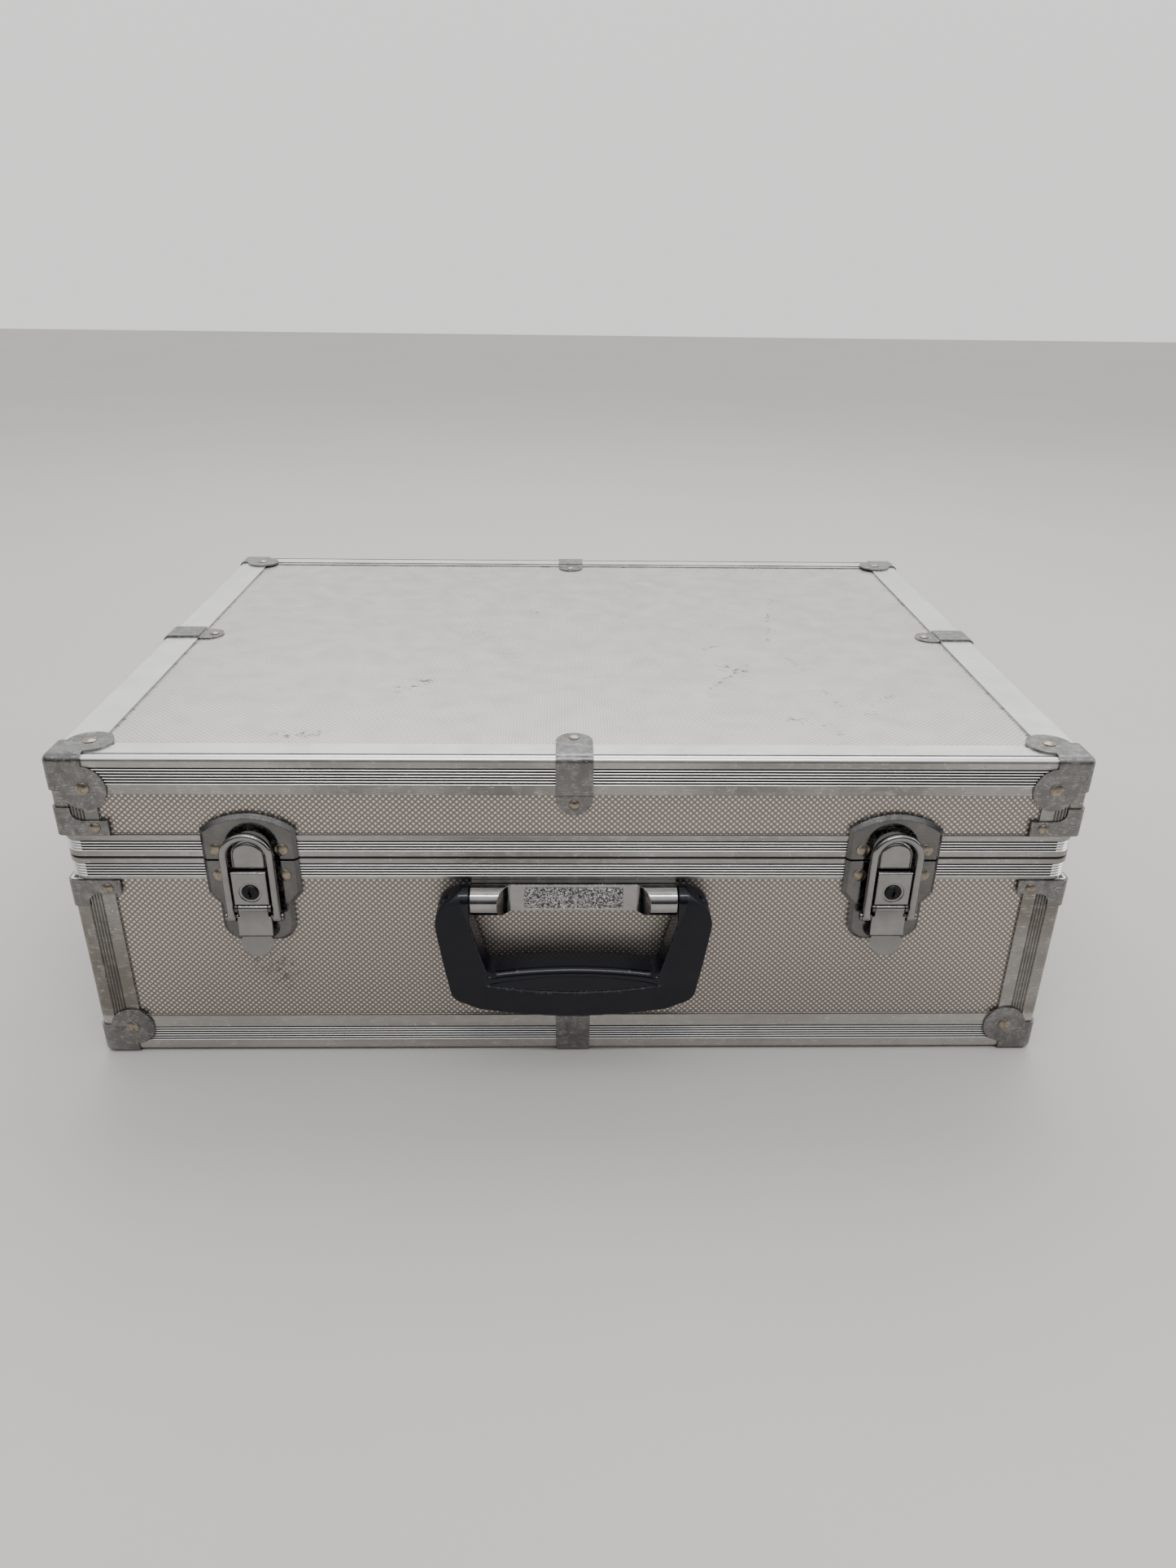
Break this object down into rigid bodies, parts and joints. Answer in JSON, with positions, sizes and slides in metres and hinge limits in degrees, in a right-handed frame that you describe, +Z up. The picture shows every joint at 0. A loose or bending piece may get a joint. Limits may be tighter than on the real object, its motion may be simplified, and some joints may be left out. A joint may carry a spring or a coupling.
{
  "type": "poker chip case",
  "caption": "Aluminium-framed poker chip case with a hinged lid, two toggle latches with key locks, a swinging front handle, slotted lid stays and two chip trays.",
  "frame": {"origin": "on the ground, in the middle of the footprint of the whole closed case", "axes": "+X to the case's right seen from the front, along its width; the front faces -Y; +Z up"},
  "size_m": [0.4642, 0.364, 0.1631],
  "materials": {
    "frame_aluminium": "extruded, satin",
    "dimpled_aluminium": "embossed with small dimples",
    "pressed_steel": "nickel plated, worn",
    "chrome_steel": "polished chrome",
    "rivet_steel": "satin",
    "fibreboard": "raw",
    "black_plastic": "matte moulded grain",
    "glitter_inlay": "silver glitter film",
    "liner_felt": "black felt",
    "tray_flocking": "black flocked",
    "foam": "egg-crate foam"
  },
  "bodies": {
    "base": {"base_floor_board": "fibreboard", "base_front_board": "fibreboard", "base_rear_board": "fibreboard", "base_side_boards": "fibreboard", "base_bottom_skin": "dimpled_aluminium", "base_long_skins": "dimpled_aluminium", "base_side_skins": "dimpled_aluminium", "base_edge_rails": "frame_aluminium", "base_corner_posts": "frame_aluminium", "base_rim": "frame_aluminium", "base_corner_caps": "pressed_steel", "base_corner_brackets": "pressed_steel", "base_edge_clips": "pressed_steel", "base_rivets": "rivet_steel", "base_liner": "liner_felt", "chip_tray_lower": "tray_flocking", "chip_tray_upper": "tray_flocking", "latch_lower_plate_left": "pressed_steel", "latch_lower_plate_right": "pressed_steel", "lock_box_left": "chrome_steel", "lock_box_right": "chrome_steel", "latch_lever_pins": "chrome_steel", "handle_bar": "chrome_steel", "handle_inlay": "glitter_inlay", "handle_pins": "rivet_steel", "handle_screws": "rivet_steel", "hinge_base_leaves": "pressed_steel", "hinge_pins": "rivet_steel", "stay_base_studs": "pressed_steel"},
    "lid": {"lid_top_board": "fibreboard", "lid_front_board": "fibreboard", "lid_rear_board": "fibreboard", "lid_side_boards": "fibreboard", "lid_top_skin": "dimpled_aluminium", "lid_long_skins": "dimpled_aluminium", "lid_side_skins": "dimpled_aluminium", "lid_edge_rails": "frame_aluminium", "lid_corner_posts": "frame_aluminium", "lid_rim": "frame_aluminium", "lid_corner_caps": "pressed_steel", "lid_corner_brackets": "pressed_steel", "lid_edge_clips": "pressed_steel", "lid_rivets": "rivet_steel", "lid_liner": "liner_felt", "lid_foam": "foam", "latch_upper_plate_left": "pressed_steel", "latch_upper_plate_right": "pressed_steel", "keeper_domes": "chrome_steel", "hinge_lid_leaves": "pressed_steel", "stay_lid_studs": "pressed_steel"},
    "grip": {"handle_grip": "black_plastic"},
    "lever_left": {"latch_lever_left": "chrome_steel"},
    "bail_left": {"latch_bail_left": "chrome_steel"},
    "lock_left": {"lock_cylinder_left": "black_plastic"},
    "stay_left": {"stay_arm_left": "pressed_steel"},
    "lever_right": {"latch_lever_right": "chrome_steel"},
    "bail_right": {"latch_bail_right": "chrome_steel"},
    "lock_right": {"lock_cylinder_right": "black_plastic"},
    "stay_right": {"stay_arm_right": "pressed_steel"}
  },
  "joints": [
    {"name": "lid_hinge", "type": "hinge", "parent": "base", "child": "lid", "pos_m": [0, 0.179, 0.111], "axis": [-1, 0, 0], "range_deg": [0, 95]},
    {"name": "handle_swing", "type": "hinge", "parent": "base", "child": "grip", "pos_m": [0, -0.1715, 0.0925], "axis": [-1, 0, 0], "range_deg": [0, 100]},
    {"name": "latch_lever_left", "type": "hinge", "parent": "base", "child": "lever_left", "pos_m": [-0.146, -0.172, 0.0886], "axis": [-1, 0, 0], "range_deg": [0, 100]},
    {"name": "latch_bail_left", "type": "hinge", "parent": "lever_left", "child": "bail_left", "pos_m": [-0.146, -0.1713, 0.0836], "axis": [-1, 0, 0], "range_deg": [-125, 0]},
    {"name": "lock_turn_left", "type": "hinge", "parent": "base", "child": "lock_left", "pos_m": [-0.146, -0.1735, 0.0977], "axis": [0, -1, 0], "range_deg": [0, 90]},
    {"name": "stay_turn_left", "type": "hinge", "parent": "lid", "child": "stay_left", "pos_m": [-0.2199, 0.11951, 0.11883], "axis": [-1, 0, 0], "range_deg": [-47.5, 0]},
    {"name": "latch_lever_right", "type": "hinge", "parent": "base", "child": "lever_right", "pos_m": [0.146, -0.172, 0.0886], "axis": [-1, 0, 0], "range_deg": [0, 100]},
    {"name": "latch_bail_right", "type": "hinge", "parent": "lever_right", "child": "bail_right", "pos_m": [0.146, -0.1713, 0.0836], "axis": [-1, 0, 0], "range_deg": [-125, 0]},
    {"name": "lock_turn_right", "type": "hinge", "parent": "base", "child": "lock_right", "pos_m": [0.146, -0.1735, 0.0977], "axis": [0, -1, 0], "range_deg": [0, 90]},
    {"name": "stay_turn_right", "type": "hinge", "parent": "lid", "child": "stay_right", "pos_m": [0.2199, 0.11951, 0.11883], "axis": [-1, 0, 0], "range_deg": [-47.5, 0]}
  ],
  "couplings": [
    {"joint": "latch_bail_left", "follows": "latch_lever_left", "ratio": -1.25},
    {"joint": "stay_turn_left", "follows": "lid_hinge", "ratio": -0.5},
    {"joint": "latch_bail_right", "follows": "latch_lever_right", "ratio": -1.25},
    {"joint": "stay_turn_right", "follows": "lid_hinge", "ratio": -0.5}
  ]
}
